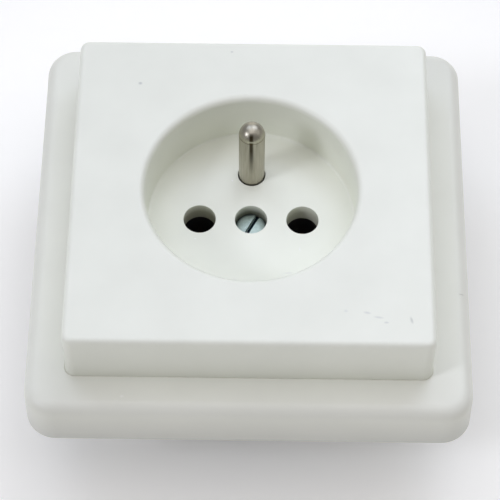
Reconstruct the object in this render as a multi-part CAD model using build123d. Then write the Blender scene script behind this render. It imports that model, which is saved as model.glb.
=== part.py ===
from build123d import *
import os
from math import cos, radians, sin, sqrt, tan

# Flush-mounted wall socket with an earth pin, lying on its rear so that it faces up. Millimetres.
# z = 0 is the wall, +Y points to the earth pin, and the origin is midway between the box screws.

# The plug that the socket takes
PIN_PITCH = 19.0
PLUG_PIN_D = 4.8
PLUG_PIN_LENGTH = 19.0

# Earth pin
EARTH_PIN_D = 4.8
EARTH_PIN_OFFSET = 10.0
EARTH_PIN_REACH = 15.5      # from the well floor to the tip
EARTH_RELIEF_D = 4.4        # where it passes the cover plate
EARTH_RELIEF_RISE = 0.1     # top of that relief above the well floor
EARTH_FLANGE_D = 7.2
EARTH_FLANGE_T = 1.2
EARTH_TAIL_D = 3.2
EARTH_RIVET_D = 5.0
EARTH_RIVET_T = 1.0
EARTH_RIVET_BEVEL = 0.5

# Outer frame, a drafted moulding that is hollow behind
FRAME_SIZE = 80.0           # across its foot on the wall
FRAME_BAND = 7.5            # its width beside the cover plate
FRAME_HEIGHT = 10.0
FRAME_DRAFT = 1.2           # degrees
FRAME_CORNER_R = 5.5
FRAME_EDGE_R = 2.4
FRAME_WALL = 2.0
FRAME_FACE_T = 2.2
WINDOW_WALL = 1.6
WINDOW_EDGE_R = 0.15
LEDGE_TOP = 6.5             # the shelf that the cover plate presses on, above the wall
LEDGE_T = 1.6
LEDGE_W = 2.6               # from the outside of the skirt inwards
LEDGE_CORNER_R = 3.0
FRAME_RIB_T = 1.2
FRAME_RIB_PITCH = 22.0
FRAME_RIBS = 3              # to each side

# Cover plate with the round plug well
COVER_TOP = 22.0            # face above the wall
COVER_DRAFT = 0.4           # degrees
COVER_CORNER_R = 1.8
COVER_EDGE_R = 1.0
COVER_WALL = 1.8
COVER_INNER_R = 0.9         # upright corners inside the skirt
COVER_FACE_T = 2.0
WINDOW_GAP = 0.1            # all round, between cover and frame
WELL_D = 38.5
WELL_DEPTH = 11.2
WELL_RIM_R = 1.25
WELL_FOOT_R = 0.5
WELL_WALL = 1.6
WELL_FLOOR_T = 2.0
CONTACT_HOLE_D = 6.0
COLLAR_WALL = 1.3
COLLAR_DEPTH = 4.0          # from the well floor to the end of each collar
EARTH_HOLE_GAP = 0.2        # round the earth pin, in the cover
COVER_RIB_T = 1.2
COVER_RIB_DEPTH = 8.0       # below the face
COVER_RIBS = 8
BOSS_WALL = 1.5
BOSS_WEB_T = 1.5            # plastic under the screw head

# Cover screw and its bush
COVER_SCREW_D = 3.0
COVER_SCREW_HEAD_D = 5.7
COVER_SCREW_HEAD_T = 2.0
COVER_SCREW_DOME = 0.35
COVER_SCREW_SINK = 2.3      # crown of the head below the well floor
COVER_SCREW_LENGTH = 12.5   # under the head
COVER_SCREW_TURN = 62.0     # degrees, how the slot came to rest
COVER_SCREW_HOLE_GAP = 0.15
SLOT_W = 0.8
SLOT_DEPTH = 0.9
HEX_ACROSS = 6.4
BUSH_LENGTH = 7.2
THREAD_GAP = 0.05

# Support ring, stamped from sheet steel
RING_MARGIN = 2.0           # to the wall of the frame, all round
RING_T = 1.2
RING_CORNER_R = 9.0
BOX_SLOT_W = 4.2
BOX_SLOT_LENGTH = 7.0
TAB_W = 6.0
TAB_RISE = 4.8              # above the ring
TAB_OFFSET = 20.0           # from the middle of the side
TAB_BEND_R = 0.6            # inside the fold
TAB_GAP = 0.3               # to the ledge of the frame

# Front cap, over the contact chambers
CAP_FLANGE_INSET = 1.0      # inside the edge of the base
CAP_FLANGE_T = 1.8
CAP_FLANGE_W = 3.0
CAP_GAP = 0.2               # under the collars of the cover
CAP_WALL = 1.6
CAP_BEVEL = 0.8
CAP_TUBE_WALL = 1.3
CAP_HOLE_GAP = 0.1          # beside a contact hole of the cover
PIN_FIT_GAP = 0.1           # round the earth pin, in the cap
BOSS_GAP = 0.25             # round the screw boss of the cover

# Base body, the housing behind the wall
BASE_D = 54.0
BASE_DRAFT = 0.5            # degrees
HEAD_SINK = 1.0             # from a terminal screw to the flat of the base outside it
BASE_BEVEL = 1.0
BASE_WALL = 2.0
BASE_FLOOR_T = 2.6
RING_SEAT_W = 3.2           # how far the base reaches under the ring
SPIGOT_GAP = 0.2            # round the spigot, in the ring
CHAMBER_WALL = 1.4
CHAMBER_GAP = 0.3
COLUMN_WALL = 1.7
BUSH_GAP = 0.05
TIP_ROOM = 2.0              # under the end of the cover screw

# Contacts, folded from bronze strip
STRIP_T = 0.8
LEAF_W = 6.0
LEAF_NECK = 0.2             # how far each leaf stands inside the plug pin's radius
LEAF_NECK_DROP = 3.6        # neck below the top of the contact
LEAF_SPREAD = 0.4           # extra at the foot of each leaf
LEAF_FLARE = 1.1            # extra at the mouth of each leaf
LEAF_BEND_R = 1.0
CONTACT_TOP_GAP = 0.3       # below the tube of the cap
PIN_TIP_ROOM = 3.0          # from the tip of a plug pin to the web of the contact
TAIL_W = 5.0
TAIL_BEND_R = 1.0
CLIP_T = 0.4
CLIP_W = 4.0
CLIP_GAP = 0.03

# Terminals, one cage and one screw each
CAGE_WALL = 1.0
CAGE_LENGTH = 5.4           # inside, along the screw
CAGE_WIDTH = 5.2            # inside, across the screw
CAGE_HEIGHT = 5.4
CAGE_TOP_GAP = 0.1          # under the bend of the tail
CAGE_CORNER_R = 0.7
CAGE_GAP = 0.2              # to its pocket
CAGE_FLOOR = 2.9            # plastic under the cage
TAIL_END_GAP = 0.4          # from the end of the tail to the pocket floor
WIRE_HOLE_D = 4.2
WIRE_FUNNEL_D = 6.0
TERMINAL_SCREW_D = 3.5
TERMINAL_SCREW_LENGTH = 4.0
TERMINAL_HEAD_D = 5.6
TERMINAL_HEAD_T = 1.9
TERMINAL_HEAD_BEVEL = 0.3
TERMINAL_HEAD_GAP = 0.3     # between head and cage
DRIVER_HOLE_D = 6.2

# Rivets that clamp cap, ring and base together
RIVET_D = 3.0
RIVET_HEAD_D = 5.0
RIVET_HEAD_T = 0.8
RIVET_HEAD_BEVEL = 0.5
RIVET_INSET = 3.7           # inside the edge of the spigot
RIVET_TURNS = (45, 135, 225, 315)
RIVET_GAP = 0.1
RIVET_BORE_D = 1.8
RIVET_BORE_DEPTH = 5.0
RIVET_ROLL_T = 0.5
RIVET_RECESS = 1.2          # closed end inside the rear face

# What follows from the sizes above
COVER_SIZE = FRAME_SIZE - 2 * FRAME_BAND
COVER_FOOT = COVER_SIZE + 2 * (COVER_TOP - LEDGE_TOP) * tan(radians(COVER_DRAFT))
LEDGE_OPENING = COVER_FOOT - 2 * LEDGE_W
RING_SIZE = FRAME_SIZE - 2 * FRAME_WALL - 2 * RING_MARGIN
SPIGOT_D = BASE_D - 2 * RING_SEAT_W
RING_BORE_D = SPIGOT_D + 2 * SPIGOT_GAP
BOX_SCREW_PITCH = (RING_SIZE + RING_BORE_D) / 2
CAP_FLANGE_D = BASE_D - 2 * CAP_FLANGE_INSET
CAP_D = CAP_FLANGE_D - 2 * CAP_FLANGE_W

WELL_FLOOR = COVER_TOP - WELL_DEPTH
COLLAR_END = WELL_FLOOR - COLLAR_DEPTH
CAP_TOP = COLLAR_END - CAP_GAP
SCREW_CROWN = WELL_FLOOR - COVER_SCREW_SINK
SCREW_SEAT = SCREW_CROWN - COVER_SCREW_HEAD_T
BOSS_END = SCREW_SEAT - BOSS_WEB_T

CONTACT_TOP = RING_T - CONTACT_TOP_GAP
CONTACT_WEB = WELL_FLOOR - PLUG_PIN_LENGTH - PIN_TIP_ROOM
CHAMBER_FLOOR = CONTACT_WEB - STRIP_T - CLIP_T
LEAF_NECK_Y = PLUG_PIN_D / 2 - LEAF_NECK + STRIP_T / 2
LEAF_FOOT_Y = LEAF_NECK_Y + LEAF_SPREAD
LEAF_MOUTH_Y = LEAF_NECK_Y + LEAF_FLARE
CHAMBER_X = LEAF_W / 2 + CHAMBER_GAP
CHAMBER_Y = LEAF_MOUTH_Y + STRIP_T / 2 + CHAMBER_GAP

TERMINALS = {"neutral": 0, "earth": 90, "live": 180}
CAGE_NEAR = PIN_PITCH / 2 + CHAMBER_X + CHAMBER_WALL + CAGE_GAP
TERMINAL_REACH = CAGE_NEAR + CAGE_WALL
CAGE_FAR = TERMINAL_REACH + CAGE_LENGTH + CAGE_WALL
CAGE_HALF = CAGE_WIDTH / 2 + CAGE_WALL
CAGE_TOP = CONTACT_WEB - STRIP_T / 2 - TAIL_BEND_R - CAGE_TOP_GAP
CAGE_SEAT = CAGE_TOP - CAGE_HEIGHT
TERMINAL_AXIS = CAGE_SEAT + CAGE_HEIGHT / 2
REAR = CAGE_SEAT - CAGE_FLOOR
BASE_FLAT = CAGE_FAR + TERMINAL_HEAD_GAP + TERMINAL_HEAD_T + HEAD_SINK
RIVET_R = SPIGOT_D / 2 - RIVET_INSET
RIVET_PLACES = [(RIVET_R * cos(radians(turn)), RIVET_R * sin(radians(turn))) for turn in RIVET_TURNS]


def rod(d, z0, z1, x=0.0, y=0.0):
    """Upright cylinder between two heights."""
    return Pos(x, y, z0) * Cylinder(d / 2, z1 - z0, align=(Align.CENTER, Align.CENTER, Align.MIN))


def cuboid(x0, x1, y0, y1, z0, z1):
    """Box between six planes."""
    return Pos(x0, y0, z0) * Box(x1 - x0, y1 - y0, z1 - z0, align=(Align.MIN, Align.MIN, Align.MIN))


def prism(size, corner_r, z0, z1, draft=0.0):
    """Upright square prism with round corners, narrowing upwards by its draft."""
    foot = Pos(0, 0, z0) * RectangleRounded(size, size, corner_r)
    return extrude(foot, z1 - z0, taper=draft)


def bevelled(d, z0, z1, bevel):
    """Upright cylinder between two heights with a bevel round its top."""
    body = rod(d, z0, z1)
    return chamfer(body.edges().group_by(Axis.Z)[-1], bevel)


def strip(points, radius, thickness, width, plane):
    """Metal strip folded along the middle of its thickness, its width across the plane of the folds."""
    path = plane * FilletPolyline(*points, radius=radius)
    section = Plane(path @ 0, x_dir=plane.z_dir, z_dir=path % 0) * Rectangle(width, thickness)
    return sweep(section, path)


def turned(solid, degrees):
    """The solid, turned about the middle axis of the socket."""
    return Rot(0, 0, degrees) * solid


# Outer frame

def frame_ribs(channel):
    """Stiffeners across the hollow between outer wall and window wall, on all four sides."""
    side = FRAME_RIB_PITCH * (FRAME_RIBS - 1) / 2
    ribs = Part()
    for n in range(FRAME_RIBS):
        at = n * FRAME_RIB_PITCH - side
        for turn in (0, 90):
            rib = cuboid(-FRAME_SIZE, FRAME_SIZE, at - FRAME_RIB_T / 2, at + FRAME_RIB_T / 2,
                         LEDGE_TOP - LEDGE_T, FRAME_HEIGHT)
            ribs += turned(rib, turn)
    return ribs & channel


def outer_frame():
    """Drafted frame with a rounded front edge, open behind, and a ledge inside for the cover plate."""
    body = prism(FRAME_SIZE, FRAME_CORNER_R, 0, FRAME_HEIGHT, FRAME_DRAFT)
    body = fillet(body.edges().group_by(Axis.Z)[-1], FRAME_EDGE_R)
    hollow = prism(FRAME_SIZE - 2 * FRAME_WALL, FRAME_CORNER_R - FRAME_WALL,
                   0, FRAME_HEIGHT - FRAME_FACE_T, FRAME_DRAFT)
    window = COVER_FOOT + 2 * WINDOW_GAP
    window_r = COVER_CORNER_R + WINDOW_GAP
    wall = prism(window + 2 * WINDOW_WALL, window_r + WINDOW_WALL, LEDGE_TOP - LEDGE_T, FRAME_HEIGHT)
    channel = hollow - wall
    body = body - channel + frame_ribs(channel)
    body -= prism(window, window_r, LEDGE_TOP, FRAME_HEIGHT)
    rim = body.edges().group_by(Axis.Z)[-1]
    inner = [e for e in rim if max(abs(e.center().X), abs(e.center().Y)) < window / 2 + WINDOW_GAP]
    body = fillet(inner, WINDOW_EDGE_R)
    return body - prism(LEDGE_OPENING, LEDGE_CORNER_R, 0, FRAME_HEIGHT)


# Cover plate

def cover_ribs(cavity):
    """Radial stiffeners between the plug well and the skirt."""
    span = COVER_SIZE * sqrt(2)
    ribs = Part()
    for n in range(COVER_RIBS // 2):
        rib = cuboid(-span / 2, span / 2, -COVER_RIB_T / 2, COVER_RIB_T / 2,
                     COVER_TOP - COVER_RIB_DEPTH, COVER_TOP)
        ribs += turned(rib, n * 360 / COVER_RIBS)
    return ribs & cavity


def cover_holes():
    """The tubes below the well floor as (bore, outer diameter, lower end, x, y)."""
    collar_d = CONTACT_HOLE_D + 2 * COLLAR_WALL
    pin_hole_d = EARTH_PIN_D + 2 * EARTH_HOLE_GAP
    boss_d = CONTACT_HOLE_D + 2 * BOSS_WALL
    return (
        (CONTACT_HOLE_D, collar_d, COLLAR_END, -PIN_PITCH / 2, 0),
        (CONTACT_HOLE_D, collar_d, COLLAR_END, PIN_PITCH / 2, 0),
        (pin_hole_d, pin_hole_d + 2 * COLLAR_WALL, COLLAR_END, 0, EARTH_PIN_OFFSET),
        (CONTACT_HOLE_D, boss_d, BOSS_END, 0, 0),
    )


def cover_plate():
    """Square cover with a rounded edge, a skirt behind it and the plug well in the middle."""
    body = prism(COVER_FOOT, COVER_CORNER_R, LEDGE_TOP, COVER_TOP, COVER_DRAFT)
    body = fillet(body.edges().group_by(Axis.Z)[-1], COVER_EDGE_R)
    cavity = prism(COVER_FOOT - 2 * COVER_WALL, COVER_INNER_R,
                   LEDGE_TOP, COVER_TOP - COVER_FACE_T, COVER_DRAFT)
    well_back = rod(WELL_D + 2 * WELL_WALL, WELL_FLOOR - WELL_FLOOR_T, COVER_TOP - COVER_FACE_T)
    body = body - (cavity - well_back) + cover_ribs(cavity - well_back)
    well = rod(WELL_D, WELL_FLOOR, COVER_TOP)
    body -= fillet(well.edges().group_by(Axis.Z)[0], WELL_FOOT_R)
    rim = [e for e in body.edges().filter_by(GeomType.CIRCLE).group_by(Axis.Z)[-1]
           if abs(e.radius - WELL_D / 2) < WELL_RIM_R / 2]
    body = fillet(rim, WELL_RIM_R)
    for bore_d, outer_d, end, x, y in cover_holes():
        body += rod(outer_d, end, WELL_FLOOR - WELL_FLOOR_T, x, y)
    for bore_d, outer_d, end, x, y in cover_holes():
        floor = SCREW_SEAT if (x, y) == (0, 0) else end
        body -= rod(bore_d, floor, WELL_FLOOR, x, y)
    return body - rod(COVER_SCREW_D + 2 * COVER_SCREW_HOLE_GAP, BOSS_END, SCREW_SEAT)


# Screws

def slotted_screw(head, head_t, d, length):
    """The head, with its seat at z = 0, on a shank and with a slot along X in its crown."""
    rim = head.bounding_box().max.X
    slot = cuboid(-rim, rim, -SLOT_W / 2, SLOT_W / 2, head_t - SLOT_DEPTH, head_t)
    return head + rod(d, -length, 0) - slot


def domed_head(d, t, rise):
    """Screw head whose crown is part of a sphere."""
    radius = ((d / 2) ** 2 + rise ** 2) / (2 * rise)
    return rod(d, 0, t) & Pos(0, 0, t - radius) * Sphere(radius)


def cover_screw():
    """Screw in the middle of the well, as its slot came to rest."""
    head = domed_head(COVER_SCREW_HEAD_D, COVER_SCREW_HEAD_T, COVER_SCREW_DOME)
    screw = slotted_screw(head, COVER_SCREW_HEAD_T, COVER_SCREW_D, COVER_SCREW_LENGTH)
    return Pos(0, 0, SCREW_SEAT) * Rot(0, 0, COVER_SCREW_TURN) * screw


def cover_screw_bush():
    """Hexagon bush in the base, threaded for the cover screw."""
    across_corners = HEX_ACROSS / cos(radians(30))
    hexagon = Pos(0, 0, RING_T - BUSH_LENGTH) * RegularPolygon(across_corners / 2, 6)
    body = extrude(hexagon, BUSH_LENGTH)
    return body - rod(COVER_SCREW_D + 2 * THREAD_GAP, RING_T - BUSH_LENGTH, RING_T)


# Earth pin and strap

def earth_pin():
    """Turned pin with a round end, a relief at the cover, a flange on the strap and a riveted foot."""
    r = EARTH_PIN_D / 2
    shoulder = WELL_FLOOR + EARTH_PIN_REACH - r
    relief = rod(EARTH_PIN_D, COLLAR_END, WELL_FLOOR + EARTH_RELIEF_RISE)
    relief -= rod(EARTH_RELIEF_D, COLLAR_END, WELL_FLOOR + EARTH_RELIEF_RISE)
    strap_under = RING_T - STRIP_T
    body = rod(EARTH_PIN_D, RING_T, shoulder) + Pos(0, 0, shoulder) * Sphere(r) - relief
    body += rod(EARTH_FLANGE_D, RING_T, RING_T + EARTH_FLANGE_T)
    body += rod(EARTH_TAIL_D, strap_under, RING_T)
    foot = bevelled(EARTH_RIVET_D, 0, EARTH_RIVET_T, EARTH_RIVET_BEVEL)
    body += Pos(0, 0, strap_under) * Rot(180, 0, 0) * foot
    return Pos(0, EARTH_PIN_OFFSET, 0) * body


def tail_points(start, height):
    """Centre line of a strip that runs out at one height and turns down into a terminal cage."""
    out = TERMINAL_REACH + STRIP_T / 2
    return (start, height), (out, height), (out, CAGE_SEAT + TAIL_END_GAP)


def earth_strap():
    """Strap along X from the pin foot to its terminal, to be turned into place."""
    height = RING_T - STRIP_T / 2
    eye = rod(EARTH_FLANGE_D + 2 * STRIP_T, RING_T - STRIP_T, RING_T, x=EARTH_PIN_OFFSET)
    tail = strip(tail_points(EARTH_PIN_OFFSET, height), TAIL_BEND_R, STRIP_T, TAIL_W, Plane.XZ)
    hole = rod(EARTH_TAIL_D, RING_T - STRIP_T, RING_T, x=EARTH_PIN_OFFSET)
    return turned(eye + tail - hole, TERMINALS["earth"])


# Contacts

def pin_contact(turn):
    """Two leaves that grip a plug pin, joined by a web whose tail runs out to the terminal."""
    web = CONTACT_WEB - STRIP_T / 2
    neck = CONTACT_TOP - LEAF_NECK_DROP
    half = [(LEAF_MOUTH_Y, CONTACT_TOP), (LEAF_NECK_Y, neck), (LEAF_FOOT_Y, web)]
    points = half + [(-y, z) for y, z in reversed(half)]
    leaves = Pos(PIN_PITCH / 2, 0, 0) * strip(points, LEAF_BEND_R, STRIP_T, LEAF_W, Plane.YZ)
    tail = strip(tail_points((PIN_PITCH + LEAF_W) / 2, web), TAIL_BEND_R, STRIP_T, TAIL_W, Plane.XZ)
    trim = cuboid(0, PIN_PITCH, -BASE_D, BASE_D, CONTACT_TOP, CAP_TOP)
    return turned(leaves + tail - trim, turn)


def contact_spring(turn):
    """Steel clip that presses the two leaves together, round their web."""
    off = (STRIP_T + CLIP_T) / 2 + CLIP_GAP
    web = CONTACT_WEB - STRIP_T - CLIP_T / 2
    neck = CONTACT_TOP - LEAF_NECK_DROP
    lean = LEAF_SPREAD / (neck - CONTACT_WEB + STRIP_T / 2)
    half = [(LEAF_NECK_Y + off, neck), (LEAF_NECK_Y + off + lean * (neck - web), web)]
    points = half + [(-y, z) for y, z in reversed(half)]
    clip = strip(points, LEAF_BEND_R + off, CLIP_T, CLIP_W, Plane.YZ)
    return turned(Pos(PIN_PITCH / 2, 0, 0) * clip, turn)


# Terminals, modelled along +X and turned to their side

def terminal_cage(turn):
    """Folded cage round the tail, threaded in its outer wall."""
    middle = (CAGE_NEAR + CAGE_FAR) / 2
    outline = RectangleRounded(CAGE_FAR - CAGE_NEAR, 2 * CAGE_HALF, CAGE_CORNER_R)
    outline = Pos(middle, 0, CAGE_SEAT) * outline
    inside = Pos(middle, 0, CAGE_SEAT) * Rectangle(CAGE_LENGTH, CAGE_WIDTH)
    body = extrude(outline - inside, CAGE_HEIGHT)
    thread = Pos(middle, 0, TERMINAL_AXIS) * Rot(0, 90, 0) * Cylinder(
        TERMINAL_SCREW_D / 2 + THREAD_GAP, CAGE_FAR - middle, align=(Align.CENTER, Align.CENTER, Align.MIN))
    return turned(body - thread, turn)


def terminal_screw(turn):
    """Clamp screw, part way in, with its head in the driver hole."""
    head = bevelled(TERMINAL_HEAD_D, 0, TERMINAL_HEAD_T, TERMINAL_HEAD_BEVEL)
    screw = slotted_screw(head, TERMINAL_HEAD_T, TERMINAL_SCREW_D, TERMINAL_SCREW_LENGTH)
    seat = CAGE_FAR + TERMINAL_HEAD_GAP
    return turned(Pos(seat, 0, TERMINAL_AXIS) * Rot(0, 90, 0) * screw, turn)


def terminal_space(turn):
    """Pocket, driver hole and wire entry of one terminal, to be cut from the base."""
    half = CAGE_HALF + CAGE_GAP
    pocket = cuboid(CAGE_NEAR - CAGE_GAP, CAGE_FAR + CAGE_GAP, -half, half, CAGE_SEAT, RING_T)
    driver = Pos(CAGE_FAR, 0, TERMINAL_AXIS) * Rot(0, 90, 0) * Cylinder(
        DRIVER_HOLE_D / 2, BASE_D, align=(Align.CENTER, Align.CENTER, Align.MIN))
    wire_x = (TERMINAL_REACH + STRIP_T + CAGE_FAR - CAGE_WALL) / 2
    wire = rod(WIRE_HOLE_D, REAR, CAGE_SEAT, x=wire_x)
    funnel_depth = (WIRE_FUNNEL_D - WIRE_HOLE_D) / 2
    funnel = Pos(wire_x, 0, REAR) * Cone(WIRE_FUNNEL_D / 2, WIRE_HOLE_D / 2, funnel_depth,
                                         align=(Align.CENTER, Align.CENTER, Align.MIN))
    return turned(pocket + driver + wire + funnel, turn)


def terminal_block(turn):
    """Plastic round the pocket of one terminal."""
    half = CAGE_HALF + CAGE_GAP + CHAMBER_WALL
    block = cuboid(CAGE_NEAR - CAGE_GAP - CHAMBER_WALL, BASE_D / 2, -half, half, REAR, RING_T)
    return turned(block, turn)


# Base body

def chamber_block(turn):
    """Plastic round one contact chamber."""
    half_x = CHAMBER_X + CHAMBER_WALL
    half_y = CHAMBER_Y + CHAMBER_WALL
    block = cuboid(PIN_PITCH / 2 - half_x, PIN_PITCH / 2 + half_x, -half_y, half_y, REAR, RING_T)
    return turned(block, turn)


def chamber_space(turn):
    """Contact chamber with the slot through which the tail leaves it."""
    middle = PIN_PITCH / 2
    room = cuboid(middle - CHAMBER_X, middle + CHAMBER_X, -CHAMBER_Y, CHAMBER_Y, CHAMBER_FLOOR, RING_T)
    slot_half = TAIL_W / 2 + CHAMBER_GAP
    slot = cuboid(middle, CAGE_FAR, -slot_half, slot_half, CONTACT_WEB - STRIP_T, RING_T)
    return turned(room + slot, turn)


def strap_space():
    """Room for the earth strap: a shallow seat round the pin foot and a slot down to the terminal."""
    eye_r = EARTH_FLANGE_D / 2 + STRIP_T + CHAMBER_GAP
    seat = cuboid(EARTH_PIN_OFFSET - eye_r, CAGE_FAR, -eye_r, eye_r, RING_T - STRIP_T, RING_T)
    slot_half = TAIL_W / 2 + CHAMBER_GAP
    slot = cuboid(TERMINAL_REACH - 2 * STRIP_T, CAGE_FAR, -slot_half, slot_half, CAGE_SEAT, RING_T)
    foot = rod(EARTH_RIVET_D + 2 * CHAMBER_GAP, RING_T - STRIP_T - EARTH_RIVET_T - CHAMBER_GAP, RING_T,
               x=EARTH_PIN_OFFSET)
    return turned(seat + slot + foot, TERMINALS["earth"])


def base_outline(inset, z0, z1):
    """Drafted round housing with a flat at each terminal, set in by the inset."""
    r = BASE_D / 2 - inset + REAR * tan(radians(BASE_DRAFT))
    body = extrude(Pos(0, 0, z0) * Circle(r), z1 - z0, taper=-BASE_DRAFT)
    flat = BASE_FLAT - inset
    for turn in TERMINALS.values():
        body -= turned(cuboid(flat, BASE_D, -BASE_D, BASE_D, z0, z1), turn)
    return body


def base_body():
    """Housing with a spigot through the ring, walled contact chambers and open terminal pockets."""
    shell = base_outline(0, REAR, 0)
    shell = chamfer(shell.edges().group_by(Axis.Z)[0], BASE_BEVEL)
    shell += rod(SPIGOT_D, 0, RING_T)
    room = base_outline(BASE_WALL, REAR + BASE_FLOOR_T, RING_T)
    room &= rod(SPIGOT_D - 2 * BASE_WALL, REAR, RING_T)
    inner = Part()
    for name in ("neutral", "live"):
        inner += chamber_block(TERMINALS[name])
    for turn in TERMINALS.values():
        inner += terminal_block(turn)
    inner += rod(HEX_ACROSS + 2 * BUSH_GAP + 2 * COLUMN_WALL, REAR, RING_T)
    inner += rod(EARTH_FLANGE_D + 2 * STRIP_T + 2 * COLUMN_WALL, REAR, RING_T, y=EARTH_PIN_OFFSET)
    inner += cuboid(-CHAMBER_WALL / 2, CHAMBER_WALL / 2, -BASE_D / 2, EARTH_PIN_OFFSET, REAR, RING_T)
    for x, y in RIVET_PLACES:
        inner += rod(RIVET_D + 2 * RIVET_GAP + 2 * COLUMN_WALL, REAR, RING_T, x, y)
    body = shell - (room - inner)
    for name in ("neutral", "live"):
        body -= chamber_space(TERMINALS[name])
    for turn in TERMINALS.values():
        body -= terminal_space(turn)
    body -= strap_space()
    bush_r = HEX_ACROSS / 2 / cos(radians(30)) + BUSH_GAP
    bush = Pos(0, 0, RING_T - BUSH_LENGTH) * RegularPolygon(bush_r, 6)
    body -= extrude(bush, BUSH_LENGTH)
    screw_end = SCREW_SEAT - COVER_SCREW_LENGTH - TIP_ROOM
    body -= rod(COVER_SCREW_D + 2 * COVER_SCREW_HOLE_GAP, screw_end, RING_T)
    for x, y in RIVET_PLACES:
        body -= rod(RIVET_D + 2 * RIVET_GAP, REAR, RING_T, x, y)
        body -= rod(RIVET_HEAD_D + 2 * RIVET_GAP, REAR, REAR + RIVET_RECESS, x, y)
    return body


# Front cap

def front_cap():
    """Round cap with a tube to each contact, a recess for the screw boss and a guide for the pin."""
    body = rod(CAP_FLANGE_D, RING_T, RING_T + CAP_FLANGE_T) + bevelled(CAP_D, RING_T, CAP_TOP, CAP_BEVEL)
    body -= rod(CAP_D - 2 * CAP_WALL, RING_T, CAP_TOP - CAP_WALL)
    tube_bore = CONTACT_HOLE_D + 2 * CAP_HOLE_GAP
    boss_bore = CONTACT_HOLE_D + 2 * BOSS_WALL + 2 * BOSS_GAP
    flange_bore = EARTH_FLANGE_D + 2 * PIN_FIT_GAP
    for side in (-1, 1):
        body += rod(tube_bore + 2 * CAP_TUBE_WALL, RING_T, CAP_TOP - CAP_WALL, x=side * PIN_PITCH / 2)
    body += rod(boss_bore + 2 * CAP_TUBE_WALL, RING_T, CAP_TOP - CAP_WALL)
    body += rod(flange_bore + 2 * CAP_TUBE_WALL, RING_T, CAP_TOP - CAP_WALL, y=EARTH_PIN_OFFSET)
    for x, y in RIVET_PLACES:
        body += rod(RIVET_HEAD_D + 2 * RIVET_GAP, RING_T, CAP_TOP - CAP_WALL, x, y)
        body -= rod(RIVET_D + 2 * RIVET_GAP, RING_T, CAP_TOP, x, y)
    for side in (-1, 1):
        body -= rod(tube_bore, RING_T, CAP_TOP, x=side * PIN_PITCH / 2)
    body -= rod(boss_bore, BOSS_END, CAP_TOP)
    body -= rod(COVER_SCREW_D + 2 * COVER_SCREW_HOLE_GAP, RING_T, BOSS_END)
    body -= rod(EARTH_PIN_D + 2 * PIN_FIT_GAP, RING_T, CAP_TOP, y=EARTH_PIN_OFFSET)
    body -= rod(flange_bore, RING_T, RING_T + EARTH_FLANGE_T + PIN_FIT_GAP, y=EARTH_PIN_OFFSET)
    return body


# Support ring

def ring_tab():
    """Folded tab that stands up just inside the ledge of the frame, at the +X side."""
    face = LEDGE_OPENING / 2 - TAB_GAP
    centre = face - RING_T / 2
    radius = TAB_BEND_R + RING_T / 2
    points = (centre - 2 * radius, RING_T / 2), (centre, RING_T / 2), (centre, RING_T + TAB_RISE)
    return strip(points, radius, RING_T, TAB_W, Plane.XZ)


def ring_window():
    """Cut-out that the tab was folded from, with relief beside the fold."""
    face = LEDGE_OPENING / 2 - TAB_GAP
    half = TAB_W / 2 + RING_T / 2
    root = face - RING_T - 2 * TAB_BEND_R
    return cuboid(root, face + TAB_RISE - RING_T, -half, half, 0, RING_T)


def support_ring():
    """Square plate round the base with a slot for each box screw and four tabs that centre the frame."""
    body = prism(RING_SIZE, RING_CORNER_R, 0, RING_T) - rod(RING_BORE_D, 0, RING_T)
    slot = Pos(BOX_SCREW_PITCH / 2, 0, 0) * SlotOverall(BOX_SLOT_LENGTH, BOX_SLOT_W)
    for turn in (0, 90, 180, 270):
        body -= turned(extrude(slot, RING_T), turn)
    for turn in (0, 180):
        for y in (-TAB_OFFSET, TAB_OFFSET):
            body -= turned(Pos(0, y, 0) * ring_window(), turn)
            body += turned(Pos(0, y, 0) * ring_tab(), turn)
    return body


# Rivets

def rivet(x, y):
    """Tubular rivet with a flat head on the cap and a rolled end in the rear of the base."""
    end = REAR + RIVET_RECESS
    body = rod(RIVET_D, end, CAP_TOP)
    body += bevelled(RIVET_HEAD_D, CAP_TOP, CAP_TOP + RIVET_HEAD_T, RIVET_HEAD_BEVEL)
    body += rod(RIVET_HEAD_D - 2 * RIVET_GAP, end - RIVET_ROLL_T, end)
    body -= rod(RIVET_BORE_D, end - RIVET_ROLL_T, end + RIVET_BORE_DEPTH)
    return Pos(x, y, 0) * body


nodes = {
    "outer_frame": outer_frame(),
    "cover_plate": cover_plate(),
    "cover_screw": cover_screw(),
    "cover_screw_bush": cover_screw_bush(),
    "earth_pin": earth_pin(),
    "earth_strap": earth_strap(),
    "support_ring": support_ring(),
    "front_cap": front_cap(),
    "base_body": base_body(),
}
for name in ("live", "neutral"):
    nodes[name + "_contact"] = pin_contact(TERMINALS[name])
    nodes[name + "_contact_spring"] = contact_spring(TERMINALS[name])
for name, turn in TERMINALS.items():
    nodes[name + "_terminal_cage"] = terminal_cage(turn)
    nodes[name + "_terminal_screw"] = terminal_screw(turn)
for n, (x, y) in enumerate(RIVET_PLACES, 1):
    nodes[f"rivet_{n}"] = rivet(x, y)

os.makedirs("parts", exist_ok=True)
for name, solid in nodes.items():
    export_step(solid, f"parts/{name}.step")
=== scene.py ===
import math

import bpy
from mathutils import Matrix, Vector


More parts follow.
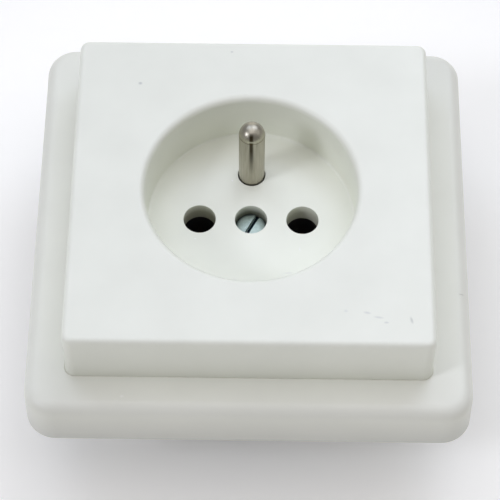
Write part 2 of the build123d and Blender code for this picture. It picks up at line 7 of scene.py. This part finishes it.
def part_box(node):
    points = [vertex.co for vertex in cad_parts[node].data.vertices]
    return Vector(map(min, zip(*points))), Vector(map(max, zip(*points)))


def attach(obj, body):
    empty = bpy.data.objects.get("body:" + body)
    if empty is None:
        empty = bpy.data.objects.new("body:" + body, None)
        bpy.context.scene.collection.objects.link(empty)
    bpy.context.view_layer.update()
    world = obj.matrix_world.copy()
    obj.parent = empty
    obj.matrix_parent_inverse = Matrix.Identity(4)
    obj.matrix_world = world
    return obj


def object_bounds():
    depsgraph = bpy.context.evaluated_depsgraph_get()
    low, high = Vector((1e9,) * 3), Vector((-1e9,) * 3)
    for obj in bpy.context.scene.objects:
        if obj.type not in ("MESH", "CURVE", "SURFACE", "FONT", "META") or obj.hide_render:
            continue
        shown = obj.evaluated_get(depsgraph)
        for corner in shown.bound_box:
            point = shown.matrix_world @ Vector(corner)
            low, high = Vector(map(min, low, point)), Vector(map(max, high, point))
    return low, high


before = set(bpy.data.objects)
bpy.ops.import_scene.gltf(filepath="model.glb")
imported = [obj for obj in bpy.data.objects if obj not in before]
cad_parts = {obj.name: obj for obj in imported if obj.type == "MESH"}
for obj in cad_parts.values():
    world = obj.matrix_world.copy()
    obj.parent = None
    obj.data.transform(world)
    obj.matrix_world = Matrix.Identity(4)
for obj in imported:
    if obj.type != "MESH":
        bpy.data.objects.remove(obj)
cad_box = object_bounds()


# Rear housing and front cap, two injection mouldings of black glass-filled polyamide. They hold the
# contacts between them and are riveted together through the support ring. The short fibres under
# the skin give them a dry, matt face with a faint grey cloud.

MM = 0.001
SHARE, FIRST, SECOND, MIXED = 0, 6, 7, 2    # a Mix node's sockets for colours: three inputs, one output
FIBRE_CLOUD = 2.5 * MM
MOULD_GRAIN = 0.35 * MM                     # about 0.05 mm on the real part, coarser here so that it shows
MOULD_DEPTH = 0.02 * MM


def linear(code):
    """Linear RGBA of an sRGB hex colour."""
    parts = [int(code[at:at + 2], 16) / 255 for at in (0, 2, 4)]
    return tuple(c / 12.92 if c <= 0.04045 else ((c + 0.055) / 1.055) ** 2.4 for c in parts) + (1.0,)


def add(tree, kind, inputs=None, **settings):
    """Adds a shader node, sets what is named and feeds its inputs with values or with other sockets."""
    made = tree.nodes.new("ShaderNode" + kind)
    for name, value in settings.items():
        setattr(made, name, value)
    for key, value in (inputs or {}).items():
        if isinstance(value, bpy.types.NodeSocket):
            tree.links.new(value, made.inputs[key])
        else:
            made.inputs[key].default_value = value
    return made


def finish_of(name, **sockets):
    """A new material with its Principled shader set, ready for patterns."""
    material = bpy.data.materials.new(name)
    material.use_nodes = True
    shader = material.node_tree.nodes["Principled BSDF"]
    for socket, value in sockets.items():
        shader.inputs[socket.replace("_", " ")].default_value = value
    return material, material.node_tree, shader


def feed(tree, shader, **patterns):
    """Leads patterns into the sockets of a Principled shader."""
    for socket, pattern in patterns.items():
        tree.links.new(pattern, shader.inputs[socket.replace("_", " ")])


def dress(material, *names):
    """Gives the material to CAD nodes whose shape is already right."""
    for name in names:
        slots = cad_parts[name].data.materials
        slots.clear()
        slots.append(material)


polyamide, tree, shader = finish_of("glass-filled polyamide, moulded", IOR=1.53)
place = add(tree, "TexCoord").outputs["Object"]
cloud = add(tree, "TexNoise", {"Vector": place, "Scale": 1 / FIBRE_CLOUD, "Detail": 5.0})
black = add(tree, "Mix", {SHARE: cloud.outputs["Fac"], FIRST: linear("19191B"), SECOND: linear("262628")},
            data_type="RGBA")
dry = add(tree, "MapRange", {"Value": cloud.outputs["Fac"], "To Min": 0.5, "To Max": 0.68})
grain = add(tree, "TexNoise", {"Vector": place, "Scale": 1 / MOULD_GRAIN, "Detail": 2.0})
relief = add(tree, "Bump", {"Strength": 0.5, "Distance": MOULD_DEPTH, "Height": grain.outputs["Fac"]})
feed(tree, shader, Base_Color=black.outputs[MIXED], Roughness=dry.outputs[0], Normal=relief.outputs[0])
dress(polyamide, "base_body", "front_cap")


# Pin contacts, each folded from tin-bronze strip and held in its chamber, with a tail in the terminal.
# Rolling leaves fine lines along the strip and a warm reddish shine under a thin brown bloom.

ROLLING_LINE = 0.12 * MM            # about 0.02 mm on the real strip, coarser here so that it shows
ALONG_STRIP = (1.0, 1.0, 0.04)      # draws the lines out along the leaves
BLOOM = 1.8 * MM

bronze, tree, shader = finish_of("tin bronze, rolled strip", Metallic=1.0)
place = add(tree, "TexCoord").outputs["Object"]
along = add(tree, "Mapping", {"Vector": place, "Scale": ALONG_STRIP})
lines = add(tree, "TexNoise", {"Vector": along.outputs[0], "Scale": 1 / ROLLING_LINE, "Detail": 2.0})
stain = add(tree, "TexNoise", {"Vector": place, "Scale": 1 / BLOOM, "Detail": 4.0})
tone = add(tree, "Mix", {SHARE: stain.outputs["Fac"], FIRST: linear("D9A06E"), SECOND: linear("A87046")},
           data_type="RGBA")
polish = add(tree, "MapRange", {"Value": lines.outputs["Fac"], "To Min": 0.22, "To Max": 0.42})
feed(tree, shader, Base_Color=tone.outputs[MIXED], Roughness=polish.outputs[0])
dress(bronze, "live_contact", "neutral_contact")


# Contact springs, clips bent from steel strip and snapped round the leaves of the contacts.
# Tempering leaves them a blue-grey skin with brownish patches.

TEMPER_PATCH = 3.0 * MM

clip_steel, tree, shader = finish_of("spring steel, tempered", Metallic=1.0)
place = add(tree, "TexCoord").outputs["Object"]
patch = add(tree, "TexNoise", {"Vector": place, "Scale": 1 / TEMPER_PATCH, "Detail": 3.0})
tone = add(tree, "Mix", {SHARE: patch.outputs["Fac"], FIRST: linear("6F7580"), SECOND: linear("8B8378")},
           data_type="RGBA")
polish = add(tree, "MapRange", {"Value": patch.outputs["Fac"], "To Min": 0.28, "To Max": 0.45})
feed(tree, shader, Base_Color=tone.outputs[MIXED], Roughness=polish.outputs[0])
dress(clip_steel, "live_contact_spring", "neutral_contact_spring")


# Earth strap, terminal cages and screw bush, pressed or turned from brass and tumbled in a drum.
# Tumbling leaves a soft yellow shine with tiny random dents, and random patches stay a little duller.

TUMBLE_DENT = 0.3 * MM
DENT_DEPTH = 0.01 * MM
TARNISH = 2.2 * MM

brass, tree, shader = finish_of("brass, pressed and tumbled", Metallic=1.0)
place = add(tree, "TexCoord").outputs["Object"]
dull = add(tree, "TexNoise", {"Vector": place, "Scale": 1 / TARNISH, "Detail": 4.0})
tone = add(tree, "Mix", {SHARE: dull.outputs["Fac"], FIRST: linear("DDB868"), SECOND: linear("B98F48")},
           data_type="RGBA")
polish = add(tree, "MapRange", {"Value": dull.outputs["Fac"], "To Min": 0.24, "To Max": 0.4})
dents = add(tree, "TexNoise", {"Vector": place, "Scale": 1 / TUMBLE_DENT, "Detail": 1.0})
relief = add(tree, "Bump", {"Strength": 0.3, "Distance": DENT_DEPTH, "Height": dents.outputs["Fac"]})
feed(tree, shader, Base_Color=tone.outputs[MIXED], Roughness=polish.outputs[0], Normal=relief.outputs[0])
dress(brass, "earth_strap", "cover_screw_bush",
      "live_terminal_cage", "neutral_terminal_cage", "earth_terminal_cage")


# Support ring and tubular rivets, pressed from steel and plated with bright zinc. The clear passivation
# drifts faintly from blue to straw, over fine scratches from the press and the plating barrel.

PASSIVATION_DRIFT = 14.0 * MM
BARREL_SCRATCH = 0.25 * MM          # below 0.1 mm on the real ring, coarser here so that it shows
SCRATCH_TURN = 0.7                  # radians
ALONG_SCRATCH = (0.06, 1.0, 1.0)
SCRATCH_DEPTH = 0.01 * MM

zinc, tree, shader = finish_of("zinc plate on steel, passivated", Metallic=1.0)
place = add(tree, "TexCoord").outputs["Object"]
drift = add(tree, "TexNoise", {"Vector": place, "Scale": 1 / PASSIVATION_DRIFT, "Detail": 2.0})
tone = add(tree, "Mix", {SHARE: drift.outputs["Fac"], FIRST: linear("B4BCC8"), SECOND: linear("C6C3B4")},
           data_type="RGBA")
turned = add(tree, "Mapping", {"Vector": place, "Rotation": (0.0, 0.0, SCRATCH_TURN), "Scale": ALONG_SCRATCH})
scratch = add(tree, "TexNoise", {"Vector": turned.outputs[0], "Scale": 1 / BARREL_SCRATCH, "Detail": 3.0})
polish = add(tree, "MapRange", {"Value": scratch.outputs["Fac"], "To Min": 0.26, "To Max": 0.44})
relief = add(tree, "Bump", {"Strength": 0.25, "Distance": SCRATCH_DEPTH, "Height": scratch.outputs["Fac"]})
feed(tree, shader, Base_Color=tone.outputs[MIXED], Roughness=polish.outputs[0], Normal=relief.outputs[0])
dress(zinc, "support_ring", "rivet_1", "rivet_2", "rivet_3", "rivet_4")


# Terminal screws, turned from steel and plated with bluish zinc, which clamp the wires in the cages.
# The lathe leaves rings round each screw's own axis, and the plate a cool, slightly clouded shine.

TURNING_RING = 0.4 * MM             # about 0.1 mm on the real head, coarser here so that it shows
RING_DEPTH = 0.01 * MM
WAVE_PHASE = 20                     # radians that the wave texture counts to one unit
ZINC_CLOUD = 1.2 * MM
screw_low, screw_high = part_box("live_terminal_screw")
SCREW_AXIS = (screw_low[2] + screw_high[2]) / 2
SCREWS = {"X": ["live_terminal_screw", "neutral_terminal_screw"], "Y": ["earth_terminal_screw"]}

for points_along, screws in SCREWS.items():
    blue_zinc, tree, shader = finish_of("blue zinc plate, turned along " + points_along, Metallic=1.0)
    place = add(tree, "TexCoord").outputs["Object"]
    own = add(tree, "Mapping", {"Vector": place, "Location": (0.0, 0.0, -SCREW_AXIS)})
    rings = add(tree, "TexWave", {"Vector": own.outputs[0], "Scale": 2 * math.pi / WAVE_PHASE / TURNING_RING},
                wave_type="RINGS", rings_direction=points_along)
    cloudy = add(tree, "TexNoise", {"Vector": place, "Scale": 1 / ZINC_CLOUD, "Detail": 3.0})
    tone = add(tree, "Mix", {SHARE: cloudy.outputs["Fac"], FIRST: linear("A9B8C6"), SECOND: linear("8D9AA6")},
               data_type="RGBA")
    polish = add(tree, "MapRange", {"Value": rings.outputs["Fac"], "To Min": 0.22, "To Max": 0.36})
    relief = add(tree, "Bump", {"Strength": 0.3, "Distance": RING_DEPTH, "Height": rings.outputs["Fac"]})
    feed(tree, shader, Base_Color=tone.outputs[MIXED], Roughness=polish.outputs[0], Normal=relief.outputs[0])
    dress(blue_zinc, *screws)


# Cover screw, turned from steel and plated with zinc, which holds cover and frame on the housing. Handling
# has dulled its crown to an even pale grey. Painted shade darkens its rim, where the recess wall shades it,
# and fills its slot with a dark colour.

SCREW_TURN = math.radians(62.0)
SLOT_HALF = 0.4 * MM
SLOT_SHADE_FULL = 0.8                    # share of the slot's half width that the painted shade fills evenly
CROWN_R = 2.25 * MM
SCREW_R = 2.8 * MM
HANDLED_CLOUD = 0.5 * MM
HANDLED_DEPTH = 0.02 * MM
ACROSS_SLOT = (-math.sin(SCREW_TURN), math.cos(SCREW_TURN), 0.0)

handled_zinc, tree, shader = finish_of("zinc plate, handled", Metallic=1.0, Roughness=0.6)
place = add(tree, "TexCoord").outputs["Object"]
cloudy = add(tree, "TexNoise", {"Vector": place, "Scale": 1 / HANDLED_CLOUD, "Detail": 3.0})
tone = add(tree, "Mix", {SHARE: cloudy.outputs["Fac"], FIRST: linear("D6E6DF"), SECOND: linear("ABBDB7")},
           data_type="RGBA")
from_axis = add(tree, "VectorMath", {0: place, 1: (1.0, 1.0, 0.0)}, operation="MULTIPLY")
radius = add(tree, "VectorMath", {0: from_axis.outputs[0]}, operation="LENGTH")
# painted shade: the rim is darkened where the recess wall shades it
rim = add(tree, "MapRange", {"Value": radius.outputs["Value"], "From Min": CROWN_R, "From Max": SCREW_R,
                             "To Min": 0.0, "To Max": 0.95}, interpolation_type="SMOOTHSTEP")
tone = add(tree, "Mix", {SHARE: rim.outputs[0], FIRST: tone.outputs[MIXED], SECOND: linear("66746E")},
           data_type="RGBA")
# painted shade: the slot is filled with a dark colour
across = add(tree, "VectorMath", {0: place, 1: ACROSS_SLOT}, operation="DOT_PRODUCT")
off_slot = add(tree, "Math", {0: across.outputs["Value"]}, operation="ABSOLUTE")
slot = add(tree, "MapRange", {"Value": off_slot.outputs[0], "From Min": SLOT_SHADE_FULL * SLOT_HALF,
                              "From Max": SLOT_HALF, "To Min": 1.0, "To Max": 0.0})
tone = add(tree, "Mix", {SHARE: slot.outputs[0], FIRST: tone.outputs[MIXED], SECOND: linear("1A262E")},
           data_type="RGBA")
relief = add(tree, "Bump", {"Strength": 0.4, "Distance": HANDLED_DEPTH, "Height": cloudy.outputs["Fac"]})
feed(tree, shader, Base_Color=tone.outputs[MIXED], Normal=relief.outputs[0])
dress(handled_zinc, "cover_screw")


# Earth pin, turned from brass, nickel plated and seated on the earth strap. The plate is semi-bright and
# a little warm, with lengthwise rub marks from plugs. Round it run a fine line where the round end begins
# and a lighter band above it, and down its near side runs a painted dark reflection.

PIN_R = 2.4 * MM
PIN_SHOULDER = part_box("earth_pin")[1][2] - PIN_R
RUB_MARK = 0.2 * MM
ALONG_PIN = (1.0, 1.0, 0.05)        # draws the rub marks out along the pin
RUB_DEPTH = 0.01 * MM
SHOULDER_LINE = 0.12 * MM
SHOULDER_EDGE = 0.25 * MM
REFLECTION_START, REFLECTION_FULL = 14 * MM, 22 * MM    # heights between which the painted dark reflection comes up
REFLECTION_MIDDLE = -0.1 * MM             # its place across the pin
REFLECTION_CORE, REFLECTION_HALF = 0.15 * MM, 0.55 * MM
REFLECTION_STRENGTH = 0.95
SIDE_END, NEAR_SIDE = 8.9 * MM, 8.3 * MM    # the pin's middle is at 10 mm

nickel, tree, shader = finish_of("nickel plate on brass, rubbed", Metallic=1.0)
place = add(tree, "TexCoord").outputs["Object"]
along = add(tree, "Mapping", {"Vector": place, "Scale": ALONG_PIN})
rubs = add(tree, "TexNoise", {"Vector": along.outputs[0], "Scale": 1 / RUB_MARK, "Detail": 3.0})
tone = add(tree, "Mix", {SHARE: rubs.outputs["Fac"], FIRST: linear("C1BDAD"), SECOND: linear("9A9585")},
           data_type="RGBA")
axes = add(tree, "SeparateXYZ", {0: place}).outputs

off_line = add(tree, "Math", {0: axes["Z"], 1: PIN_SHOULDER + 2 * SHOULDER_LINE}, operation="SUBTRACT")
off_line = add(tree, "Math", {0: off_line.outputs[0]}, operation="ABSOLUTE")
line = add(tree, "MapRange", {"Value": off_line.outputs[0], "From Min": 0.0, "From Max": SHOULDER_LINE,
                              "To Min": 1.0, "To Max": 0.0})
tone = add(tree, "Mix", {SHARE: line.outputs[0], FIRST: tone.outputs[MIXED], SECOND: linear("6E675A")},
           data_type="RGBA")

off_edge = add(tree, "Math", {0: axes["Z"], 1: PIN_SHOULDER + 3 * SHOULDER_EDGE}, operation="SUBTRACT")
off_edge = add(tree, "Math", {0: off_edge.outputs[0]}, operation="ABSOLUTE")
lighter_band = add(tree, "MapRange", {"Value": off_edge.outputs[0], "From Min": 0.0, "From Max": SHOULDER_EDGE,
                                   "To Min": 1.0, "To Max": 0.0}).outputs[0]
tone = add(tree, "Mix", {SHARE: lighter_band, FIRST: tone.outputs[MIXED], SECOND: linear("C0BCAC")},
           data_type="RGBA")

# painted reflection: a dark line down the side of the pin that faces the viewer
off_reflection = add(tree, "Math", {0: axes["X"], 1: REFLECTION_MIDDLE}, operation="SUBTRACT")
off_reflection = add(tree, "Math", {0: off_reflection.outputs[0]}, operation="ABSOLUTE")
dark_reflection = add(tree, "MapRange", {"Value": off_reflection.outputs[0], "From Min": REFLECTION_CORE, "From Max": REFLECTION_HALF,
                              "To Min": REFLECTION_STRENGTH, "To Max": 0.0}, interpolation_type="SMOOTHSTEP")
raised = add(tree, "MapRange", {"Value": axes["Z"], "From Min": REFLECTION_START, "From Max": REFLECTION_FULL})
facing = add(tree, "MapRange", {"Value": axes["Y"], "From Min": SIDE_END, "From Max": NEAR_SIDE})
spared = add(tree, "Math", {0: 1.0, 1: lighter_band}, operation="SUBTRACT")
for limit in (raised, facing, spared):
    dark_reflection = add(tree, "Math", {0: dark_reflection.outputs[0], 1: limit.outputs[0]}, operation="MULTIPLY")
tone = add(tree, "Mix", {SHARE: dark_reflection.outputs[0], FIRST: tone.outputs[MIXED], SECOND: linear("3F3520")},
           data_type="RGBA")

polish = add(tree, "MapRange", {"Value": rubs.outputs["Fac"], "To Min": 0.3, "To Max": 0.44})
relief = add(tree, "Bump", {"Strength": 0.25, "Distance": RUB_DEPTH, "Height": rubs.outputs["Fac"]})
feed(tree, shader, Base_Color=tone.outputs[MIXED], Roughness=polish.outputs[0], Normal=relief.outputs[0])
dress(nickel, "earth_pin")


# Outer frame and cover plate, injection moulded in white thermoplastic and held by the cover screw. The
# mould leaves a fine satin grain. The white drifts a little at random and carries a painted light gradient,
# darker to the far left; painted shade darkens it towards the foot and inside the holes. It carries small
# specks and scuffs.

PIGMENT_CLOUD = 11.0 * MM
PAINTED_LIGHT_SLOPE = (-9.0, 6.0, 0.0)           # painted light slope: share of the darker white that one metre along X and along Y adds
FACE, WELL_FACE, FRAME_TOP = 22.0, 10.8, 10.0   # heights of the marked faces in mm
HOLES = [                           # middle in mm, colour and strength of the painted shade inside
    (0.0, "5A5C4A", 0.9),
    (-9.5, "6A6636", 0.55),
    (9.5, "6E6A40", 0.42),
]
HOLE_R = 3.0 * MM
HOLE_MARGIN = 0.1 * MM
HOLE_SHADE_DEPTH = 2 * MM
FOOT_TOP = 8.5 * MM
FOOT_SHADE = 0.36
SATIN_GRAIN = 0.3 * MM              # about 0.05 mm on the real face, coarser here so that it shows
SATIN_DEPTH = 0.012 * MM
SOFT_EDGE = 0.15                    # share of a mark that stays full, the rest fades out
MARK_DEPTH = 1.0 * MM
MARKS = [                           # place, length and width in mm, turn in degrees, colour, strength
    ((-20.9, 22.6, FACE), 1.1, 0.9, 0, "9FA3A1", 0.5),
    ((-4.0, 30.1, FACE), 0.8, 0.6, 0, "B4B8B4", 0.45),
    ((28.2, -27.3, FACE), 2.0, 0.7, 105, "B5B8B2", 0.5),
    ((20.5, -25.9, FACE), 1.8, 0.7, -10, "CDD0CB", 0.5),
    ((22.5, -26.8, FACE), 2.4, 0.6, -8, "CDD0CB", 0.5),
    ((23.8, -27.8, FACE), 1.2, 0.6, 0, "C6C9C4", 0.5),
    ((16.8, -25.6, FACE), 1.0, 0.8, 0, "D6D9D4", 0.4),
    ((-3.6, 8.6, WELL_FACE), 0.4, 0.4, 0, "FFFFFF", 0.9),
    ((-10.2, -4.3, WELL_FACE), 0.5, 0.4, 0, "FFFFFF", 0.6),
    ((9.0, -6.3, WELL_FACE), 0.4, 1.4, 10, "F8F8F4", 0.6),
    ((7.0, -11.4, WELL_FACE), 2.4, 0.7, 5, "D9D9D4", 0.4),
    ((7.6, -12.5, WELL_FACE), 1.4, 0.5, 0, "FBFBF8", 0.6),
    ((4.0, -13.0, WELL_FACE), 1.0, 0.5, 0, "D3D2CE", 0.5),
    ((-22.3, -36.6, FRAME_TOP), 1.0, 0.8, 0, "F6F6EE", 0.6),
    ((38.4, -14.9, FRAME_TOP), 1.7, 0.4, 0, "B4B4AA", 0.5),
]


def mark(tree, place, at, length, width, turn):
    """Mask of one small mark: an ellipse on the face at a place in millimetres, turned in degrees."""
    centred = add(tree, "VectorMath", {0: place, 1: Vector(at) * MM}, operation="SUBTRACT")
    flat = add(tree, "Mapping", {"Vector": centred.outputs[0], "Rotation": (0.0, 0.0, math.radians(-turn))})
    size = (2 / (length * MM), 2 / (width * MM), 1 / MARK_DEPTH)
    shaped = add(tree, "VectorMath", {0: flat.outputs[0], 1: size}, operation="MULTIPLY")
    reach = add(tree, "VectorMath", {0: shaped.outputs[0]}, operation="LENGTH")
    return add(tree, "MapRange", {"Value": reach.outputs["Value"], "From Min": SOFT_EDGE, "From Max": 1.0,
                                  "To Min": 1.0, "To Max": 0.0}, interpolation_type="SMOOTHSTEP").outputs[0]


def satin_white(name, lighter_white, darker_white):
    """White moulding: a slow drift between two whites with a painted light gradient, painted shade at the
    foot and in the holes, the marks of use and a fine grained skin.
    """
    material, tree, shader = finish_of(name, IOR=1.5)
    place = add(tree, "TexCoord").outputs["Object"]
    cloud = add(tree, "TexNoise", {"Vector": place, "Scale": 1 / PIGMENT_CLOUD, "Detail": 3.0}).outputs["Fac"]
    # painted light: a slope that darkens the white towards the far left and lightens it towards the near
    # right
    painted_slope = add(tree, "VectorMath", {0: place, 1: PAINTED_LIGHT_SLOPE}, operation="DOT_PRODUCT").outputs["Value"]
    drift_and_light = add(tree, "Math", {0: cloud, 1: painted_slope}, operation="ADD", use_clamp=True).outputs[0]
    tone = add(tree, "Mix", {SHARE: drift_and_light, FIRST: linear(lighter_white), SECOND: linear(darker_white)},
               data_type="RGBA").outputs[MIXED]
    height = add(tree, "SeparateXYZ", {0: place}).outputs["Z"]
    depth = add(tree, "MapRange", {"Value": height, "From Min": WELL_FACE * MM + HOLE_MARGIN,
                                   "From Max": WELL_FACE * MM - HOLE_SHADE_DEPTH}).outputs[0]
    # painted shade inside the holes, growing with depth below the well's face
    for hole_x, colour, strength in HOLES:
        away = add(tree, "VectorMath", {0: place, 1: (hole_x * MM, 0.0, 0.0)}, operation="SUBTRACT")
        across = add(tree, "VectorMath", {0: away.outputs[0], 1: (1.0, 1.0, 0.0)}, operation="MULTIPLY")
        radius = add(tree, "VectorMath", {0: across.outputs[0]}, operation="LENGTH").outputs["Value"]
        inside = add(tree, "Math", {0: radius, 1: HOLE_R + HOLE_MARGIN}, operation="LESS_THAN").outputs[0]
        hole_shade = add(tree, "Math", {0: inside, 1: depth}, operation="MULTIPLY").outputs[0]
        hole_shade = add(tree, "Math", {0: hole_shade, 1: strength}, operation="MULTIPLY").outputs[0]
        tone = add(tree, "Mix", {SHARE: hole_shade, FIRST: tone, SECOND: linear(colour)},
                   data_type="RGBA").outputs[MIXED]
    # painted shade: darker towards the foot
    foot = add(tree, "MapRange", {"Value": height, "From Min": FOOT_TOP, "From Max": 0.0,
                                  "To Min": 0.0, "To Max": FOOT_SHADE}).outputs[0]
    tone = add(tree, "Mix", {SHARE: foot, FIRST: tone, SECOND: linear("9C9C9A")},
               data_type="RGBA").outputs[MIXED]
    for at, length, width, turn, colour, strength in MARKS:
        mask = mark(tree, place, at, length, width, turn)
        marked = add(tree, "Math", {0: mask, 1: strength}, operation="MULTIPLY").outputs[0]
        tone = add(tree, "Mix", {SHARE: marked, FIRST: tone, SECOND: linear(colour)},
                   data_type="RGBA").outputs[MIXED]
    polish = add(tree, "MapRange", {"Value": cloud, "To Min": 0.36, "To Max": 0.46})
    grain = add(tree, "TexNoise", {"Vector": place, "Scale": 1 / SATIN_GRAIN, "Detail": 2.0})
    relief = add(tree, "Bump", {"Strength": 0.35, "Distance": SATIN_DEPTH, "Height": grain.outputs["Fac"]})
    feed(tree, shader, Base_Color=tone, Roughness=polish.outputs[0], Normal=relief.outputs[0])
    return material


dress(satin_white("white thermoplastic of the frame, satin moulded", "ECEDE1", "E4E5D9"), "outer_frame")
dress(satin_white("white thermoplastic of the cover, satin moulded", "F4F6E9", "E9EBDE"), "cover_plate")


# A thin layer of pale dust and wall paint packed in the seam between cover and frame. It also stands in
# for light: it fills the seam's shade, so the seam reads as a soft line instead of a black one.

SEAM_TOP = 9.87 * MM
SEAM_DEPTH = 0.4 * MM
SEAM_INNER = 32.586 * MM
SEAM_OUTER = 32.706 * MM
SEAM_CORNER = 1.78 * MM
CORNER_STEPS = 8
DUST_CLUMP = 1.5 * MM


def rounded_square(half, corner, height):
    """Points round a square with round corners."""
    points = []
    for n in range(4):
        middle = Vector((half - corner, half - corner))
        for step in range(CORNER_STEPS + 1):
            angle = math.radians(90.0 * step / CORNER_STEPS)
            at = middle + corner * Vector((math.cos(angle), math.sin(angle)))
            at.rotate(Matrix.Rotation(math.radians(90.0 * n), 2))
            points.append((at.x, at.y, height))
    return points


outer_corner = SEAM_CORNER + SEAM_OUTER - SEAM_INNER
rings = [rounded_square(SEAM_INNER, SEAM_CORNER, SEAM_TOP - SEAM_DEPTH),
         rounded_square(SEAM_INNER, SEAM_CORNER, SEAM_TOP),
         rounded_square(SEAM_OUTER, outer_corner, SEAM_TOP),
         rounded_square(SEAM_OUTER, outer_corner, SEAM_TOP - SEAM_DEPTH)]
count = len(rings[0])
faces = []
for side in range(len(rings)):
    start, next_start = side * count, (side + 1) % len(rings) * count
    for n in range(count):
        after = (n + 1) % count
        faces.append((start + n, next_start + n, next_start + after, start + after))
# painted light: a pale layer that fills the seam's shade
seam_mesh = bpy.data.meshes.new("seam_dust_and_fill")
seam_mesh.from_pydata([point for ring in rings for point in ring], [], faces)
seam_dust_and_fill = bpy.data.objects.new("seam_dust_and_fill", seam_mesh)
bpy.context.scene.collection.objects.link(seam_dust_and_fill)

dust_and_fill, tree, shader = finish_of("packed dust", Roughness=0.9, IOR=1.45)
place = add(tree, "TexCoord").outputs["Object"]
clumps = add(tree, "TexNoise", {"Vector": place, "Scale": 1 / DUST_CLUMP, "Detail": 4.0})
tone = add(tree, "Mix", {SHARE: clumps.outputs["Fac"], FIRST: linear("F0EFE4"), SECOND: linear("CFCDBF")},
           data_type="RGBA")
feed(tree, shader, Base_Color=tone.outputs[MIXED])
seam_mesh.materials.append(dust_and_fill)
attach(seam_dust_and_fill, "root")


# Studio floor, a sheet of uncoated white paper board under the loose socket: even, matt and barely
# fibrous. It glows a little near the socket, painted light that stands in for light sent up from round it,
# and is clear from below, so that the rear of the socket can be looked at.

FLOOR_SIZE = 3.0                    # metres
PAPER_FIBRE = 3.0 * MM
GLOW = 0.15
GLOW_FULL, GLOW_END = 75 * MM, 150 * MM

half = FLOOR_SIZE / 2
low = cad_box[0][2]
floor_mesh = bpy.data.meshes.new("floor")
floor_mesh.from_pydata([(-half, -half, low), (half, -half, low), (half, half, low), (-half, half, low)],
                       [], [(0, 1, 2, 3)])
floor = bpy.data.objects.new("floor", floor_mesh)
bpy.context.scene.collection.objects.link(floor)

paper, tree, shader = finish_of("white paper board", Roughness=0.8, IOR=1.45,
                                Emission_Color=(1.0, 1.0, 1.0, 1.0))
place = add(tree, "TexCoord").outputs["Object"]
fibres = add(tree, "TexNoise", {"Vector": place, "Scale": 1 / PAPER_FIBRE, "Detail": 4.0})
tone = add(tree, "Mix", {SHARE: fibres.outputs["Fac"], FIRST: linear("FBFAF3"), SECOND: linear("F7F6EF")},
           data_type="RGBA")
reach = add(tree, "VectorMath", {0: place}, operation="LENGTH")
glow = add(tree, "MapRange", {"Value": reach.outputs["Value"], "From Min": GLOW_FULL, "From Max": GLOW_END,
                              "To Min": GLOW, "To Max": 0.0}, interpolation_type="SMOOTHSTEP")
feed(tree, shader, Base_Color=tone.outputs[MIXED], Emission_Strength=glow.outputs[0])
from_below = add(tree, "NewGeometry").outputs["Backfacing"]
clear = add(tree, "BsdfTransparent").outputs[0]
open_below = add(tree, "MixShader", {0: from_below, 1: shader.outputs[0], 2: clear})
tree.links.new(open_below.outputs[0], tree.nodes["Material Output"].inputs["Surface"])
floor_mesh.materials.append(paper)


# Studio lights: a broad soft light overhead, two windows behind, a small lamp at the left, a white
# card and a reflector that lift the shadows, and an even surround. The windows are bluish.

LIT_POINT = (0.0, 0.0, 0.01)
LIGHTS = [                          # name, place and size in metres, power in watts, colour
    ("overhead", (0.0, 0.0, 1.0), 0.85, 2.5, (0.96, 0.94, 1.0)),
    ("window behind, left", (-0.343, 0.542, 0.766), 0.55, 1.6, (0.72, 0.81, 1.0)),
    ("window behind, right", (0.299, 0.569, 0.766), 0.55, 2.6, (0.77, 0.84, 1.0)),
    ("lamp at the left", (-0.708, -0.345, 0.616), 0.2, 2.4, (0.86, 0.88, 1.0)),
    ("white card low behind", (0.0, 0.94, 0.2), 0.6, 0.9, (1.0, 0.97, 0.92)),
    ("reflector at the right", (0.766, 0.0, 0.643), 0.8, 1.0, (0.97, 0.96, 1.0)),
]
SURROUND_COLOUR = (1.0, 0.96, 0.99, 1.0)
SURROUND_LEVEL = 0.257

for name, place, size, power, colour in LIGHTS:
    lamp = bpy.data.lights.new(name, "AREA")
    lamp.shape = "SQUARE"
    lamp.size = size
    lamp.energy = power
    lamp.color = colour
    box = bpy.data.objects.new(name, lamp)
    box.location = place
    box.visible_camera = False
    box.rotation_euler = (Vector(LIT_POINT) - Vector(place)).to_track_quat("-Z", "Y").to_euler()
    bpy.context.scene.collection.objects.link(box)

surround = bpy.data.worlds.new("even white surround")
surround.use_nodes = True
backdrop = surround.node_tree.nodes["Background"]
backdrop.inputs["Color"].default_value = SURROUND_COLOUR
backdrop.inputs["Strength"].default_value = SURROUND_LEVEL
bpy.context.scene.world = surround
bpy.context.scene.view_settings.view_transform = "Standard"


# Camera: a short telephoto view from in front and well above, as the socket was photographed.
# The focal length is given in pixels of the photograph's 500.

AIM = Vector((-0.04, -13.61, 22.3)) * MM
DISTANCE = 369.4 * MM
ELEVATION = math.radians(58.60)
AZIMUTH = math.radians(0.515)
ROLL = math.radians(0.274)
FOCAL_PIXELS = 2090.0
IMAGE_PIXELS = 500.0
SENSOR = 36.0                       # mm

away = Vector((math.sin(AZIMUTH) * math.cos(ELEVATION), -math.cos(AZIMUTH) * math.cos(ELEVATION),
               math.sin(ELEVATION)))
right = (-away).cross(Vector((0.0, 0.0, 1.0))).normalized()
up = right.cross(-away)
rolled_right = math.cos(ROLL) * right + math.sin(ROLL) * up
rolled_up = -math.sin(ROLL) * right + math.cos(ROLL) * up
lens = bpy.data.cameras.new("camera")
lens.sensor_width = SENSOR
lens.lens = FOCAL_PIXELS * SENSOR / IMAGE_PIXELS
camera = bpy.data.objects.new("camera", lens)
turn = Matrix((rolled_right, rolled_up, away)).transposed().to_4x4()
camera.matrix_world = Matrix.Translation(AIM + away * DISTANCE) @ turn
bpy.context.scene.collection.objects.link(camera)
bpy.context.scene.camera = camera
